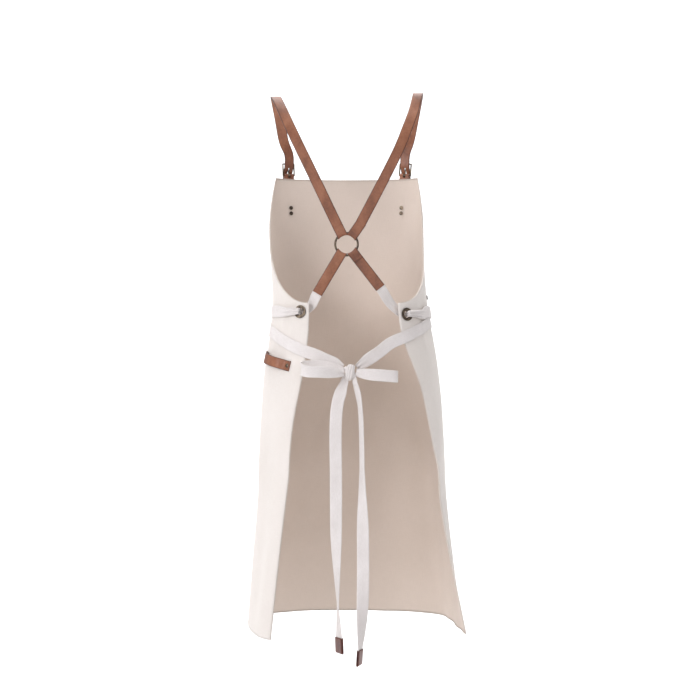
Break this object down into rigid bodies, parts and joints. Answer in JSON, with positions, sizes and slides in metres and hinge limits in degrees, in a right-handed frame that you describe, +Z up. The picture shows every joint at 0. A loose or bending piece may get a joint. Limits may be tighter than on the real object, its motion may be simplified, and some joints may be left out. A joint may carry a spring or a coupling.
{
  "type": "butcher apron",
  "caption": "Full-length canvas apron worn open at the back, with leather straps that cross on a metal ring and webbing ties knotted in a bow.",
  "frame": {"origin": "midway between the two places where the shoulder straps rest on the shoulders", "axes": "+Z up, +Y towards the wearer's front, +X towards the wearer's right"},
  "size_m": [0.4454, 0.341, 1.0918],
  "materials": {
    "canvas": "natural cotton canvas, plain weave, unbleached cream",
    "cotton_webbing": "flat cotton herringbone webbing, unbleached cream",
    "strap_leather": "chestnut full-grain leather, edges burnished darker",
    "antique_brass": "dark antique brass, brighter on worn edges"
  },
  "bodies": {
    "apron": {"canvas_panel": "canvas", "bottom_hem": "canvas", "bib_top_hem": "canvas", "waist_pocket": "canvas", "chest_pocket": "canvas", "bib_rivets": "antique_brass", "bow_knot": "cotton_webbing", "towel_loop": "strap_leather", "towel_loop_rivets": "antique_brass", "side_stud": "antique_brass", "left_shoulder_strap": "strap_leather", "left_lower_strap": "strap_leather", "left_bib_tab": "strap_leather", "left_buckle_frame": "antique_brass", "left_strap_keeper": "strap_leather", "left_eyelet": "antique_brass", "left_eyelet_washer": "antique_brass", "left_waist_tie": "cotton_webbing", "left_bow_loop": "cotton_webbing", "left_armhole_hem": "canvas", "left_back_hem": "canvas", "right_shoulder_strap": "strap_leather", "right_lower_strap": "strap_leather", "right_bib_tab": "strap_leather", "right_buckle_frame": "antique_brass", "right_strap_keeper": "strap_leather", "right_eyelet": "antique_brass", "right_eyelet_washer": "antique_brass", "right_waist_tie": "cotton_webbing", "right_bow_loop": "cotton_webbing", "right_armhole_hem": "canvas", "right_back_hem": "canvas"},
    "ring": {"back_ring": "antique_brass"},
    "left_prong": {"left_buckle_prong": "antique_brass"},
    "right_prong": {"right_buckle_prong": "antique_brass"},
    "left_tail": {"left_tie_tail": "cotton_webbing", "left_tie_tip": "strap_leather"},
    "right_tail": {"right_tie_tail": "cotton_webbing", "right_tie_tip": "strap_leather"}
  },
  "joints": [
    {"name": "back_ring_turn", "type": "hinge", "parent": "apron", "child": "ring", "pos_m": [0, -0.08, -0.294], "axis": [0, 1, 0], "continuous": true},
    {"name": "left_prong_lift", "type": "hinge", "parent": "apron", "child": "left_prong", "pos_m": [-0.11746, 0.1023, -0.14202], "axis": [-0.8734, -0.486, -0.0309], "range_deg": [0, 60]},
    {"name": "right_prong_lift", "type": "hinge", "parent": "apron", "child": "right_prong", "pos_m": [0.11768, 0.10217, -0.14203], "axis": [-0.8776, 0.4741, 0.0707], "range_deg": [0, 60]},
    {"name": "left_tail_swing", "type": "hinge", "parent": "apron", "child": "left_tail", "pos_m": [-0.004, -0.105, -0.556], "axis": [0, 1, 0], "range_deg": [-1, 14]},
    {"name": "right_tail_swing", "type": "hinge", "parent": "apron", "child": "right_tail", "pos_m": [0.016, -0.115, -0.556], "axis": [0, 1, 0], "range_deg": [-14, 1]}
  ]
}
